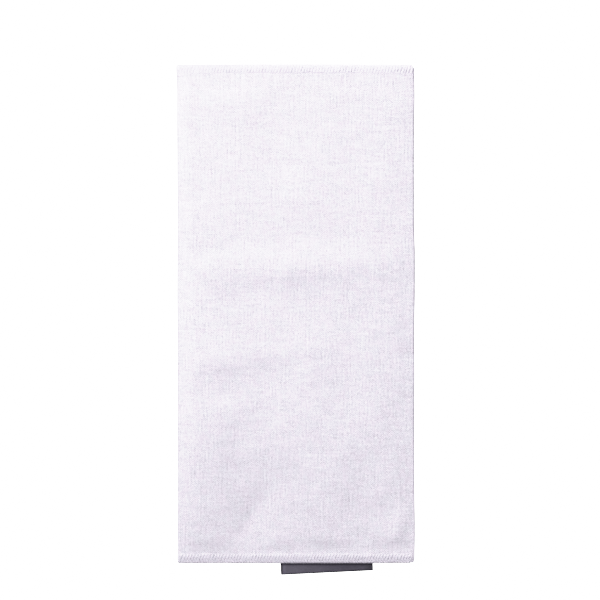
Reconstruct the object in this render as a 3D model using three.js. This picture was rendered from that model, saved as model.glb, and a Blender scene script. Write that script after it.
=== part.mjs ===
import * as THREE from "three";

// A flat cloth pouch that lies on a surface: a tube of cloth with soft folds at its left and right,
// sewn shut along one end, with its mouth at the other end, and a folded strip sewn under the shut end.
// Millimetres. X runs across the pouch, Y runs from the sewn end to the mouth, Z is up from the surface.

// Cloth and outline
const POUCH_WIDTH = 167;
const POUCH_LENGTH = 351.2;
const CLOTH = 1.2; // thickness of one layer of the pouch cloth
const EDGE_BAND = 5.6; // width of the overlocked edge at the mouth and at the sewn end
const BAND_BUILD = 0.3; // how much the overlocking thread thickens that edge
const CORNER = { mouthLeft: 1, mouthRight: 3.4, sewnLeft: 1.2, sewnRight: 2.2 }; // corner radii
const MOUTH_DIP = { x: 5, depth: 0.45, reach: 45, run: 30 }; // the mouth edge sags in its middle
const SEWN_SKEW = { rise: 0.25, run: 30 }; // the sewn edge climbs to the right by this much each way

// How far the front panel stands off the back panel inside the pouch. It comes up within a short way of
// the left fold and goes down slowly to the right fold; each rise is steep at the fold and level past it.
const FULL_GAP = 6.4;
const SIDE_GAP = { left: 2.4, right: 0.9 };
const LEFT_RISE = { sewnRun: 20, mouthRun: 9, power: 2.1 }; // run of the rise at each end of the pouch
const RIGHT_RISE = { sewnRun: 80, mouthRun: 170, power: 1.6 };
const SEWN_RISE = { run: 105, power: 1.4 };
const MOUTH_DROP = { share: 0.1, run: 300 }; // the front panel settles towards the mouth
const FOLD_FREE = 14; // the soft folds fade out over this distance from a side fold

// Folded strip under the sewn end
const STRIP_LENGTH = 65;
const STRIP_WIDTH = 25;
const STRIP_CLOTH = 1; // thickness of one of its two layers
const STRIP_GAP = 0.3; // air between the two layers
const STRIP_SHOWS = 8.1; // how far its left corner reaches past the sewn end
const STRIP_LEFT = -10.3; // X of that corner
const STRIP_TURN = 2.8; // degrees, from the sewn end
const STRIP_CLEARANCE = 0.3; // air between the strip and the pouch over it
const STRIP_MARGIN = 3; // the pouch stays up this far past the strip's edges
const STRIP_RUN = 25; // and comes down to the surface over this distance

// How the side folds wander from straight, outwards positive
const SIDES = [
  { y: -172, left: 0.2, right: 0 },
  { y: -150, left: 0, right: 0.2 },
  { y: -110, left: -0.1, right: 0 },
  { y: -62, left: -0.2, right: -0.1 },
  { y: -40, left: -0.2, right: 0.2 },
  { y: -10, left: 0, right: -0.1 },
  { y: 20, left: 0.2, right: 0.4 },
  { y: 45, left: 0, right: 0.4 },
  { y: 70, left: -0.1, right: -0.2 },
  { y: 110, left: 0.1, right: -0.2 },
  { y: 135, left: 0.3, right: -0.1 },
  { y: 158, left: 0.5, right: 0.4 },
  { y: 180, left: 0.8, right: 0 },
];

// Soft folds of the front panel. Each is a ridge or a trough with its middle at x, y, that runs
// for reach to each side along the direction turn, in degrees from X, and is spread wide across it.
const FOLDS = [
  { name: "long left swell", x: -74, y: -70, reach: 90, spread: 30, turn: 90, rise: 0.8 },
  { name: "long hollow", x: -18, y: -60, reach: 100, spread: 24, turn: 92, rise: -0.9 },
  { name: "left crease", x: -56, y: 49, reach: 34, spread: 7, turn: 11, rise: -0.6 },
  { name: "right crease", x: 28, y: 60, reach: 62, spread: 9, turn: 0, rise: -0.3 },
  { name: "cross ridge", x: -10, y: 34, reach: 80, spread: 9, turn: 2, rise: 0.55 },
  { name: "its upper slope", x: 24, y: 40, reach: 90, spread: 13, turn: 1, rise: 0.8 },
  { name: "hollow below it", x: 3, y: 12, reach: 38, spread: 11, turn: -4, rise: -0.25 },
  { name: "left ridge", x: -46, y: -28, reach: 31, spread: 9, turn: 2, rise: 1.0 },
  { name: "left hollow", x: -46, y: -52, reach: 24, spread: 9, turn: 0, rise: -0.3 },
  { name: "left swell", x: -53, y: -86, reach: 26, spread: 9, turn: 90, rise: 0.8 },
  { name: "slanted trough", x: -31, y: -137, reach: 24, spread: 9, turn: 61, rise: -1.0 },
  { name: "hump beside it", x: -16, y: -163, reach: 14, spread: 9, turn: 62, rise: 1.3 },
  { name: "lower right swell", x: 26, y: -118, reach: 40, spread: 22, turn: 78, rise: 1.2 },
  { name: "right hollow", x: 38, y: -50, reach: 17, spread: 11, turn: -45, rise: -0.4 },
  { name: "right swell", x: 64, y: -6, reach: 50, spread: 12, turn: 90, rise: 0.5 },
  { name: "upper left swell", x: -50, y: 152, reach: 26, spread: 14, turn: 0, rise: 0.9 },
  { name: "upper hollow", x: -18, y: 122, reach: 32, spread: 14, turn: 85, rise: -0.6 },
  { name: "upper right swell", x: 60, y: 110, reach: 60, spread: 16, turn: 90, rise: 0.3 },
];

// Fineness of the surface
const FRONT_COLUMNS = 30;
const STATION_STEP = 7;
const FOLD_STEPS = 4; // faces round each side fold

// The whole object, strip included, is centred on X = 0 and Y = 0
const SEWN_END = (STRIP_SHOWS - POUCH_LENGTH) / 2;
const MOUTH_END = SEWN_END + POUCH_LENGTH;
const furthest = (side) => Math.max(...SIDES.map((row) => row[side]));
const MIDDLE = (furthest("left") - furthest("right")) / 2;
const STRIP_HEIGHT = 2 * STRIP_CLOTH + STRIP_GAP;

const turnOf = (degrees) => THREE.MathUtils.degToRad(degrees);
const clamp = THREE.MathUtils.clamp;
const ease = (from, to, value) => THREE.MathUtils.smoothstep(value, from, to);

// The place of a point along and across a direction, measured from a centre.
function turned(x, y, centre, degrees) {
  const angle = turnOf(degrees);
  const dx = x - centre.x;
  const dy = y - centre.y;
  return {
    along: dx * Math.cos(angle) + dy * Math.sin(angle),
    across: dy * Math.cos(angle) - dx * Math.sin(angle),
  };
}

// The strip is turned about its lower left corner.
const STRIP_CENTRE = new THREE.Vector2(STRIP_LENGTH / 2, STRIP_WIDTH / 2)
  .rotateAround(new THREE.Vector2(), turnOf(STRIP_TURN))
  .add(new THREE.Vector2(STRIP_LEFT, SEWN_END - STRIP_SHOWS));

// A side's wander at Y, eased from row to row of the table.
function wander(side, y) {
  const next = SIDES.findIndex((row) => row.y >= y);
  if (next <= 0) return SIDES[next < 0 ? SIDES.length - 1 : 0][side];
  const before = SIDES[next - 1];
  const after = SIDES[next];
  return THREE.MathUtils.lerp(before[side], after[side], ease(before.y, after.y, y));
}

// How much a rounded corner takes off the side at this distance from the end.
function cornerCut(radius, distance) {
  if (distance >= radius) return 0;
  return radius - Math.sqrt(radius * radius - (radius - distance) ** 2);
}

const leftSide = (y) =>
  MIDDLE -
  POUCH_WIDTH / 2 -
  wander("left", y) +
  cornerCut(CORNER.mouthLeft, MOUTH_END - y) +
  cornerCut(CORNER.sewnLeft, y - SEWN_END);

const rightSide = (y) =>
  MIDDLE +
  POUCH_WIDTH / 2 +
  wander("right", y) -
  cornerCut(CORNER.mouthRight, MOUTH_END - y) -
  cornerCut(CORNER.sewnRight, y - SEWN_END);

// The height of the back panel's underside: level, but for where it passes over the strip.
function underside(x, y) {
  const place = turned(x, y, STRIP_CENTRE, STRIP_TURN);
  const past = Math.hypot(
    Math.max(Math.abs(place.along) - STRIP_LENGTH / 2, 0),
    Math.max(Math.abs(place.across) - STRIP_WIDTH / 2, 0),
  );
  const share = 1 - ease(STRIP_MARGIN, STRIP_MARGIN + STRIP_RUN, past);
  return share * (STRIP_HEIGHT + STRIP_CLEARANCE);
}

// The ridges and troughs of the front panel, added up.
function foldRelief(x, y) {
  return FOLDS.reduce((sum, fold) => {
    const place = turned(x, y, fold, fold.turn);
    const far = (place.along / fold.reach) ** 2 + (place.across / fold.spread) ** 2;
    return sum + fold.rise * Math.exp(-far);
  }, 0);
}

// 0 at a fold or seam and 1 past the run of its rise.
const risen = (distance, run, power) => 1 - (1 - clamp(distance / run, 0, 1)) ** power;

function sideRisen(distance, y, rise) {
  const run = THREE.MathUtils.lerp(rise.sewnRun, rise.mouthRun, (y - SEWN_END) / POUCH_LENGTH);
  return risen(distance, run, rise.power);
}

// The space between the panels, 0 where they are sewn together.
function gap(x, y) {
  const fromLeft = x - leftSide(y);
  const fromRight = rightSide(y) - x;
  const fromSeam = y - SEWN_END - EDGE_BAND;
  const across = sideRisen(fromLeft, y, LEFT_RISE) * sideRisen(fromRight, y, RIGHT_RISE);
  const along = risen(fromSeam, SEWN_RISE.run, SEWN_RISE.power);
  const settled = 1 - MOUTH_DROP.share * ease(MOUTH_END - MOUTH_DROP.run, MOUTH_END, y);
  const side = THREE.MathUtils.lerp(SIDE_GAP.left, SIDE_GAP.right, ease(leftSide(y), rightSide(y), x));
  const open = along * (side + across * (FULL_GAP * settled - side));
  const free = ease(0, FOLD_FREE, Math.min(fromLeft, fromRight)) * ease(0, FOLD_FREE, fromSeam);
  return Math.max(open + free * foldRelief(x, y), 0);
}

// The cloth is thicker in the overlocked edge of the mouth.
const wall = (y) => CLOTH + BAND_BUILD * (1 - ease(EDGE_BAND, EDGE_BAND + 1, MOUTH_END - y));

const SURFACES = {
  outer: {
    inset: () => 0,
    low: underside,
    high: (x, y) => frontUnderside(x, y) + wall(y),
  },
  inner: {
    inset: wall,
    low: (x, y) => underside(x, y) + wall(y),
    high: (x, y) => frontUnderside(x, y),
  },
};

function frontUnderside(x, y) {
  return CLOTH + BAND_BUILD + Math.hypot(gap(x, y), underside(x, y));
}

// The mouth edge sags and the sewn edge is skewed, both fading towards the middle of the length.
function shiftAlong(x, y) {
  const nearMouth = ease(MOUTH_END - MOUTH_DIP.run, MOUTH_END, y);
  const nearSeam = 1 - ease(SEWN_END, SEWN_END + SEWN_SKEW.run, y);
  const sag = MOUTH_DIP.depth * Math.exp(-(((x - MOUTH_DIP.x) / MOUTH_DIP.reach) ** 2));
  return nearSeam * SEWN_SKEW.rise * (x / (POUCH_WIDTH / 2)) - nearMouth * sag;
}

// Where the back panel needs points: its sides, and where it climbs over the strip.
function backColumns(from, to) {
  const left = STRIP_LEFT - STRIP_MARGIN;
  const right = STRIP_LEFT + STRIP_LENGTH + STRIP_MARGIN;
  const climb = [-STRIP_RUN, -STRIP_RUN / 2, 0].map((distance) => left + distance);
  const descent = [0, STRIP_RUN / 3, (2 * STRIP_RUN) / 3].map((distance) => right + distance);
  return [from, -70, -54, ...climb, (left + right) / 2, ...descent, to];
}

// One closed ring of a surface: along the front from left to right, round the right fold,
// along the back from right to left, and round the left fold.
function ring(surface, y) {
  const { inset, low, high } = surface;
  const left = leftSide(y) + inset(y);
  const right = rightSide(y) - inset(y);
  const roundness = (side) => (high(side, y) - low(side, y)) / 2;
  const from = left + roundness(left);
  const to = right - roundness(right);
  const points = [];
  const add = (x, z) => points.push(new THREE.Vector3(x, y + shiftAlong(x, y), z));
  const addFold = (x, side, reach) => {
    const middle = (high(x, y) + low(x, y)) / 2;
    const half = (high(x, y) - low(x, y)) / 2;
    for (let step = 1; step < FOLD_STEPS; step++) {
      const angle = Math.PI * (step / FOLD_STEPS);
      add(x + side * reach * Math.sin(angle), middle + side * half * Math.cos(angle));
    }
  };
  for (let column = 0; column <= FRONT_COLUMNS; column++) {
    const x = THREE.MathUtils.lerp(from, to, column / FRONT_COLUMNS);
    add(x, high(x, y));
  }
  addFold(to, 1, right - to);
  for (const x of backColumns(from, to).reverse()) add(x, low(x, y));
  addFold(from, -1, from - left);
  return points;
}

// The Y of each ring: even steps, with more at the corners, the edge bands and the strip.
function stations(from, to) {
  const stripTop = STRIP_CENTRE.y + STRIP_WIDTH / 2 + STRIP_MARGIN;
  const cornersAtMouth = [CORNER.mouthRight, CORNER.mouthRight / 3, CORNER.mouthLeft / 4];
  const fixed = [
    from,
    SEWN_END + CORNER.sewnRight / 3,
    SEWN_END + CORNER.sewnRight,
    SEWN_END + EDGE_BAND,
    stripTop,
    stripTop + STRIP_RUN / 2,
    stripTop + STRIP_RUN,
    MOUTH_END - EDGE_BAND - 1,
    MOUTH_END - EDGE_BAND,
    ...cornersAtMouth.map((distance) => MOUTH_END - distance),
    to,
  ].filter((y) => y >= from && y <= to);
  const sorted = [...new Set(fixed)].sort((a, b) => a - b);
  const filled = [];
  sorted.forEach((start, index) => {
    const end = sorted[index + 1] ?? start;
    const steps = Math.max(Math.round((end - start) / STATION_STEP), 1);
    for (let step = 0; step < steps; step++) {
      filled.push(THREE.MathUtils.lerp(start, end, step / steps));
    }
  });
  return [...new Set(filled)];
}

// Gathers points and faces into one closed geometry.
class Shell {
  constructor() {
    this.points = [];
    this.faces = [];
  }

  addRing(points) {
    const first = this.points.length;
    this.points.push(...points);
    return points.map((_, index) => first + index);
  }

  // A band of faces between two rings of the same count.
  join(near, far) {
    near.forEach((start, index) => {
      const next = (index + 1) % near.length;
      this.faces.push(start, near[next], far[index]);
      this.faces.push(near[next], far[next], far[index]);
    });
  }

  // Closes a ring by zipping its upper half to its lower half, from the left fold to the right one.
  cap(loop, facesMouth) {
    const leftFold = loop.length - FOLD_STEPS / 2;
    const rightFold = FRONT_COLUMNS + FOLD_STEPS / 2;
    const upper = [...loop.slice(leftFold), ...loop.slice(0, rightFold + 1)];
    const lower = [loop[leftFold], ...loop.slice(rightFold, leftFold).reverse()];
    const ahead = (list, at) => (at + 1 < list.length ? this.points[list[at + 1]].x : Infinity);
    let high = 0;
    let low = 0;
    while (high + 1 < upper.length || low + 1 < lower.length) {
      const upperFirst = ahead(upper, high) <= ahead(lower, low);
      const third = upperFirst ? upper[high + 1] : lower[low + 1];
      const face = [lower[low], third, upper[high]];
      if (new Set(face).size === 3) this.faces.push(...(facesMouth ? face.reverse() : face));
      if (upperFirst) high++;
      else low++;
    }
  }

  geometry() {
    const made = new THREE.BufferGeometry().setFromPoints(this.points);
    made.setIndex(this.faces);
    made.computeVertexNormals();
    return made;
  }
}

// The pouch: an outer skin, the mouth's rim, and an inner skin down to the seam.
function pouchGeometry() {
  const shell = new Shell();
  const outer = stations(SEWN_END, MOUTH_END).map((y) => shell.addRing(ring(SURFACES.outer, y)));
  const inner = stations(SEWN_END + EDGE_BAND, MOUTH_END).map((y) =>
    shell.addRing(ring(SURFACES.inner, y)),
  );
  outer.slice(1).forEach((loop, index) => shell.join(outer[index], loop));
  shell.join(outer.at(-1), inner.at(-1));
  inner.slice(1).forEach((loop, index) => shell.join(loop, inner[index]));
  shell.cap(outer[0], false);
  shell.cap(inner[0], true);
  return shell.geometry();
}

// The strip's section, seen along its width: two layers that meet in a fold at the right end.
function stripGeometry() {
  const half = STRIP_LENGTH / 2;
  const outer = STRIP_HEIGHT / 2;
  const inner = STRIP_GAP / 2;
  const section = new THREE.Shape();
  section.moveTo(-half, 0);
  section.lineTo(half - outer, 0);
  section.absarc(half - outer, outer, outer, -Math.PI / 2, Math.PI / 2, false);
  section.lineTo(-half, STRIP_HEIGHT);
  section.lineTo(-half, STRIP_HEIGHT - STRIP_CLOTH);
  section.lineTo(half - outer, STRIP_HEIGHT - STRIP_CLOTH);
  section.absarc(half - outer, outer, inner, Math.PI / 2, -Math.PI / 2, true);
  section.lineTo(-half, STRIP_CLOTH);
  section.closePath();
  const made = new THREE.ExtrudeGeometry(section, {
    depth: STRIP_WIDTH,
    bevelEnabled: false,
    curveSegments: 6,
  });
  made.rotateX(Math.PI / 2);
  made.translate(0, STRIP_WIDTH / 2, 0);
  return made;
}

function makePouch() {
  const cloth = new THREE.MeshStandardMaterial({ color: 0xe6e3ea, roughness: 0.95, metalness: 0 });
  const mesh = new THREE.Mesh(pouchGeometry(), cloth);
  mesh.name = "pouch";
  return mesh;
}

function makeStrip() {
  const satin = new THREE.MeshStandardMaterial({ color: 0x5c5866, roughness: 0.45, metalness: 0 });
  const mesh = new THREE.Mesh(stripGeometry(), satin);
  mesh.name = "label";
  mesh.position.set(STRIP_CENTRE.x, STRIP_CENTRE.y, 0);
  mesh.rotation.z = turnOf(STRIP_TURN);
  return mesh;
}

const cutleryPouch = new THREE.Group();
cutleryPouch.add(makePouch(), makeStrip());

export default cutleryPouch;
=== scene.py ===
import math

import bpy
import numpy as np
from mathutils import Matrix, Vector


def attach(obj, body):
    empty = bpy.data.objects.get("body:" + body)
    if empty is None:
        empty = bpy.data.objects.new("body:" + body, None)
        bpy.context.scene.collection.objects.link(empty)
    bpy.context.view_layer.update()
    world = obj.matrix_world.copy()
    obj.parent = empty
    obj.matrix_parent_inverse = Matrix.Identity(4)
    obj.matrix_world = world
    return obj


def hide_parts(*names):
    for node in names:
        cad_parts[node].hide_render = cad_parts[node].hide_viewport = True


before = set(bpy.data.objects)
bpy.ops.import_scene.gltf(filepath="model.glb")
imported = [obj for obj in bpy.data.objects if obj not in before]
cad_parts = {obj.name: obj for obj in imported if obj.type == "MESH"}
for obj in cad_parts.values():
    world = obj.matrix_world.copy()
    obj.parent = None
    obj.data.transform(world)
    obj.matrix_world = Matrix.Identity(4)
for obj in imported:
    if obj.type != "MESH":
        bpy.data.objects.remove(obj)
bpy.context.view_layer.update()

MM = 0.001  # sizes below are in millimetres, and meshes are in metres

# The pouch's outline
POUCH_WIDTH = 167.0
POUCH_LENGTH = 351.2
MIDDLE = 0.2  # X of the pouch's middle line
EDGE_BAND = 5.6  # width of the overlocked edge at the mouth and at the sewn end
CORNER = {"mouth_left": 1.0, "mouth_right": 3.4, "sewn_left": 1.2, "sewn_right": 2.2}  # radii
MOUTH_DIP = {"x": -84.0, "depth": 0.3, "reach": 50.0, "run": 30.0}  # the mouth sags at its left
SEWN_SKEW = {"rise": 0.05, "run": 30.0}  # the sewn edge climbs to the right by this much each way

# How far the front panel stands off the back panel. It comes up within a short way of the left fold and
# goes down slowly to the right fold.
FULL_GAP = 6.4
SIDE_GAP = {"left": 2.4, "right": 0.9}
LEFT_RISE = {"sewn_run": 20.0, "mouth_run": 9.0, "power": 2.1}  # run of the rise at each end
RIGHT_RISE = {"sewn_run": 80.0, "mouth_run": 170.0, "power": 1.6}
SEWN_RISE = {"run": 105.0, "power": 1.4}
MOUTH_DROP = {"share": 0.1, "run": 300.0}  # the front panel settles towards the mouth
FOLD_FREE = 14.0  # the soft folds fade out over this distance from a side fold

# The folded strip under the sewn end
STRIP_LENGTH = 65.0
STRIP_WIDTH = 25.0
STRIP_SHOWS = 8.1  # how far the left corner of its solid reaches past the sewn end
STRIP_DROP = 0.5  # the ribbon hangs this much lower than its solid
STRIP_LEFT = -10.3  # X of that corner
STRIP_TURN = 2.8  # degrees, from the sewn end
STRIP_LIFT = 1.15  # how far the strip holds the cloth up
STRIP_MARGIN = 3.0  # the cloth stays up this far past the strip's edges
STRIP_RUN = 25.0  # and comes down to the surface over this distance

# How the side folds wander from straight, outwards positive
SIDES = [
    {"y": -172, "left": 0.2, "right": 0.3},
    {"y": -150, "left": 0.0, "right": 0.6},
    {"y": -110, "left": -0.1, "right": 0.2},
    {"y": -62, "left": -0.2, "right": 0.1},
    {"y": -40, "left": -0.2, "right": 0.3},
    {"y": -10, "left": 0.0, "right": 0.1},
    {"y": 20, "left": 0.2, "right": 0.55},
    {"y": 45, "left": 0.1, "right": 0.6},
    {"y": 70, "left": -0.1, "right": 0.0},
    {"y": 110, "left": 0.2, "right": -0.1},
    {"y": 135, "left": 0.35, "right": 0.0},
    {"y": 158, "left": 0.3, "right": 0.4},
    {"y": 180, "left": 0.7, "right": 0.0},
]

# Soft folds of the front panel: ridges and hollows, each with its middle at x and y. They run for reach to
# each side along the direction turn, in degrees from X, and are spread wide across it.
FOLDS = [
    {"name": "long left swell", "x": -74, "y": -70, "reach": 90, "spread": 30, "turn": 90, "rise": 0.8},
    {"name": "long hollow", "x": -18, "y": -60, "reach": 100, "spread": 24, "turn": 92, "rise": -0.9},
    {"name": "left crease", "x": -56, "y": 49, "reach": 34, "spread": 7, "turn": 11, "rise": -0.6},
    {"name": "right crease", "x": 28, "y": 60, "reach": 62, "spread": 9, "turn": 0, "rise": -0.3},
    {"name": "cross ridge", "x": -10, "y": 34, "reach": 80, "spread": 9, "turn": 2, "rise": 0.55},
    {"name": "its upper slope", "x": 24, "y": 40, "reach": 90, "spread": 13, "turn": 1, "rise": 0.8},
    {"name": "hollow below it", "x": 3, "y": 12, "reach": 38, "spread": 11, "turn": -4, "rise": -0.25},
    {"name": "left ridge", "x": -46, "y": -28, "reach": 31, "spread": 9, "turn": 2, "rise": 1.0},
    {"name": "left hollow", "x": -46, "y": -52, "reach": 24, "spread": 9, "turn": 0, "rise": -0.3},
    {"name": "left swell", "x": -53, "y": -86, "reach": 26, "spread": 9, "turn": 90, "rise": 0.8},
    {"name": "slanted trough", "x": -31, "y": -137, "reach": 24, "spread": 9, "turn": 61, "rise": -1.0},
    {"name": "hump beside it", "x": -16, "y": -163, "reach": 14, "spread": 9, "turn": 62, "rise": 1.3},
    {"name": "lower right swell", "x": 26, "y": -118, "reach": 40, "spread": 22, "turn": 78, "rise": 1.2},
    {"name": "right hollow", "x": 38, "y": -50, "reach": 17, "spread": 11, "turn": -45, "rise": -0.4},
    {"name": "right swell", "x": 64, "y": -6, "reach": 50, "spread": 12, "turn": 90, "rise": 0.5},
    {"name": "upper left swell", "x": -50, "y": 152, "reach": 26, "spread": 14, "turn": 0, "rise": 0.9},
    {"name": "upper hollow", "x": -18, "y": 122, "reach": 32, "spread": 14, "turn": 85, "rise": -0.6},
    {"name": "upper right swell", "x": 60, "y": 110, "reach": 60, "spread": 16, "turn": 90, "rise": 0.3},
]

# Slighter ones, which only the thin cloth has
SMALL_FOLDS = [
    {"x": -73, "y": -39, "reach": 6, "spread": 6, "turn": 0, "rise": 0.25},
    {"x": -69, "y": 88, "reach": 9, "spread": 7, "turn": 0, "rise": -0.2},
    {"x": -63, "y": 74, "reach": 16, "spread": 7, "turn": 0, "rise": 0.35},
    {"x": 72, "y": 84, "reach": 14, "spread": 8, "turn": 0, "rise": -0.25},
    {"x": 74, "y": 147, "reach": 10, "spread": 8, "turn": 0, "rise": 0.3},
    {"x": 25, "y": -157, "reach": 12, "spread": 7, "turn": 0, "rise": 0.2},
    {"x": 62, "y": -120, "reach": 40, "spread": 10, "turn": 84, "rise": 0.5},
    {"x": 73, "y": -148, "reach": 15, "spread": 9, "turn": 62, "rise": 1.1},
    {"x": -45, "y": -12, "reach": 26, "spread": 14, "turn": 0, "rise": 0.4},
]

# The cloth as it is seen: a thinner sheet than the solid, with finer unevenness
CLOTH = 1.0
BAND_LIFT = 0.1  # thread under the overlocked edges lifts the cloth by this much
BAND_FADE = {"before": 1.0, "past": 3.0}  # the lift ends over this distance round the band's inner line
LAYER_AIR = 0.05  # between the two panels where they are pressed together
FRONT_PUFF = 0.45  # the front panel's extra height where it is loose
LOOSE_GAP = 1.5  # the front panel is fully loose from this gap on
HELD_UNEVEN = 0.25  # share of the ripples that is left at the side folds and the seam
RIPPLES = [
    {"seed": 3, "wavelength": 46.0, "height": 0.10},
    {"seed": 5, "wavelength": 21.0, "height": 0.045},
    {"seed": 8, "wavelength": 9.0, "height": 0.016},
]
WAVES = 14  # in each row of ripples
PUCKER = {"wavelength": 7.4, "height": 0.13, "run": 13.0, "start": 4.0, "sway": 1.3, "sway_run": 17.0}
EDGE_PRESS = {  # the stitching presses the cloth flatter towards its edge
    "mouth": {"height": 0.2, "start": 0.5, "run": 2.4},
    "sewn": {"height": 0.6, "start": 0.5, "run": 5.5},
}
BACK_SEAM = {"x": -42.0, "depth": 0.4, "width": 0.5, "start": 8.0}

# Fineness of the cloth mesh
FRONT_COLUMNS = 128
BACK_LEFT_COLUMNS = 18
BACK_RIGHT_COLUMNS = 48
FOLD_STEPS = 10
OUTER_STATIONS = 262
INNER_STATIONS = 90
RIM_STEPS = 6
CLOSING_STEPS = 4
LEFT_CROWDING = 1.7  # above 1, the back's columns are closer together near the seam
RIGHT_CROWDING = 1.3

# Threads of the cloth
WARP_PITCH = 0.86
WEFT_PITCH = 0.75
TUFT = 0.36  # size of the fuzz on the yarn
RIB_YARNS = 2.8  # warp yarns in each faint rib

# How much each trait of the cotton, and the painted light and shade among them, adds to its tone, which runs
# from 0 to 1
COTTON_TONE = {
    "middle": 0.56,
    # painted shade in the gaps between yarns, and a little painted light on their crowns
    "weave": 0.04,
    "tuft": 0.40,
    "crossing": 0.12,
    "yarn": 0.5,
    "rib": 0.43,
    "weft_streak": 0.26,
    "warp_streak": 0.10,
    "shade": 0.04,
    "slub": 0.06,
    "patch": 0.06,
    # painted shade from the stitches, on the cloth at the sewn end
    "painted_stitch_shade": -0.06,
}
# run, fold and end are painted light and shade: painted shade over the upper layer that deepens towards the
# fold, more painted shade at the fold, and painted light at the upper layer's cut end
SATIN_TONE = {  # edge, fold and end are those of the strip, and run is its whole upper layer
    "middle": -0.21,
    "rib": 0.10,
    "float": 0.5,
    "cloud": 0.3,
    "speck": 0.35,
    "edge": -0.18,
    "run": -0.20,
    "fold": -0.30,
    "end": 0.20,
}

# Colours in the 0 to 255 steps of a screen, of the darkest tone and the lightest
COOL_COTTON = {"dark": (154, 150.5, 159), "light": (248, 247.5, 253)}
WARM_COTTON = {"dark": (157.5, 149.5, 160), "light": (252, 246.5, 254.5)}
THREAD_COLOUR = {"dark": (222, 218, 228), "light": (249, 246, 251)}
SATIN_COLOUR = {"dark": (34, 31, 41), "light": (106, 101, 117)}

# Overlock stitches
STITCH_PITCH = 2.1
STITCH_DEPTH = 5.4
STITCH_LEAN = 0.95  # in stitches, over the stitch's depth
STITCH_WRAP = 1.1  # length of thread round the cloth's edge, from one face to its middle
STITCH_LIFT = 0.7  # share of the lifts in the stitch tables that the pulled thread keeps
STITCH_MARGIN = 1.3  # between the sewn end's last stitch and the side fold
STITCH_UNEVEN = {"hole": 0.10, "depth": 0.05, "lean": 0.08}  # shares of a stitch, to each side
LOOPER_RADIUS = 0.22
NEEDLE_RADIUS = 0.13
THREAD_SIDES = 6
FLOOR_AIR = 0.02  # between the thread and the surface that the pouch lies on
MOUTH_RIM = 0.35  # from the mouth's end to where its cloth starts to turn over
SEWN_RIM = 0.75  # the same at the sewn end
EDGE_DEPTH = 3.0  # the edges are known this much deeper than the stitches reach
EDGE_COLUMNS = 160  # places along the sewn end where its edge is known
DEPTH_STEP = 0.5  # between the depths where an edge is known

# The photograph's frame
PIXEL = 0.7055  # millimetres on the object for each pixel
FRAME_PIXELS = 600
FRAME_CENTRE = {"x": 3.15, "y": 13.77}
CAMERA_HEIGHT = 2.6  # metres
SENSOR = 36.0  # width, which fixes the lens

SEWN_END = (STRIP_SHOWS - POUCH_LENGTH) / 2
MOUTH_END = SEWN_END + POUCH_LENGTH


def ease(low, high, value):
    """0 up to low, 1 from high on, and smooth between them."""
    share = np.clip((value - low) / (high - low), 0.0, 1.0)
    return share * share * (3.0 - 2.0 * share)


def turned(x, y, centre_x, centre_y, degrees):
    """A point's place along and across a direction, from a centre."""
    angle = math.radians(degrees)
    dx, dy = x - centre_x, y - centre_y
    along = dx * math.cos(angle) + dy * math.sin(angle)
    across = dy * math.cos(angle) - dx * math.sin(angle)
    return along, across


def strip_centre():
    angle = math.radians(STRIP_TURN)
    half_length, half_width = STRIP_LENGTH / 2, STRIP_WIDTH / 2
    x = half_length * math.cos(angle) - half_width * math.sin(angle)
    y = half_length * math.sin(angle) + half_width * math.cos(angle)
    return STRIP_LEFT + x, SEWN_END - STRIP_SHOWS - STRIP_DROP + y


STRIP_X, STRIP_Y = strip_centre()


def wander(side, y):
    """How far a side fold lies outside its straight line."""
    rows = np.array([row["y"] for row in SIDES], float)
    values = np.array([row[side] for row in SIDES], float)
    after = np.clip(np.searchsorted(rows, y), 1, len(rows) - 1)
    share = ease(rows[after - 1], rows[after], y)
    return values[after - 1] + (values[after] - values[after - 1]) * share


def corner_cut(radius, distance):
    """How much a rounded corner takes off the side at this distance from the end."""
    inside = np.clip(radius - distance, 0.0, radius)
    return radius - np.sqrt(radius * radius - inside * inside)


def left_side(y):
    cut = corner_cut(CORNER["mouth_left"], MOUTH_END - y) + corner_cut(CORNER["sewn_left"], y - SEWN_END)
    return MIDDLE - POUCH_WIDTH / 2 - wander("left", y) + cut


def right_side(y):
    cut = corner_cut(CORNER["mouth_right"], MOUTH_END - y) + corner_cut(CORNER["sewn_right"], y - SEWN_END)
    return MIDDLE + POUCH_WIDTH / 2 + wander("right", y) - cut


def strip_lift(x, y):
    """How far the strip holds the back panel up."""
    along, across = turned(x, y, STRIP_X, STRIP_Y, STRIP_TURN)
    past = np.hypot(
        np.maximum(np.abs(along) - STRIP_LENGTH / 2, 0.0),
        np.maximum(np.abs(across) - STRIP_WIDTH / 2, 0.0),
    )
    return (1.0 - ease(STRIP_MARGIN, STRIP_MARGIN + STRIP_RUN, past)) * STRIP_LIFT


def fold_relief(x, y):
    total = 0.0
    for fold in FOLDS + SMALL_FOLDS:
        along, across = turned(x, y, fold["x"], fold["y"], fold["turn"])
        reach, spread = fold["reach"], fold["spread"]
        total = total + fold["rise"] * np.exp(-((along / reach) ** 2) - (across / spread) ** 2)
    return total


def ripples(x, y):
    """Small unevenness: for each row a sum of waves in all directions, of about that length."""
    total = 0.0
    for row in RIPPLES:
        chance = np.random.default_rng(row["seed"])
        height = row["height"] * math.sqrt(2 / WAVES)
        for _ in range(WAVES):
            heading = chance.uniform(0, math.tau)
            length = row["wavelength"] * chance.uniform(0.75, 1.4)
            phase = chance.uniform(0, math.tau)
            travel = x * math.cos(heading) + y * math.sin(heading)
            total = total + height * np.sin(math.tau * travel / length + phase)
    return total


def risen(distance, run, power):
    """0 at a fold or seam and 1 past the run of its rise, steepest at the start."""
    return 1.0 - (1.0 - np.clip(distance / run, 0.0, 1.0)) ** power


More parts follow.
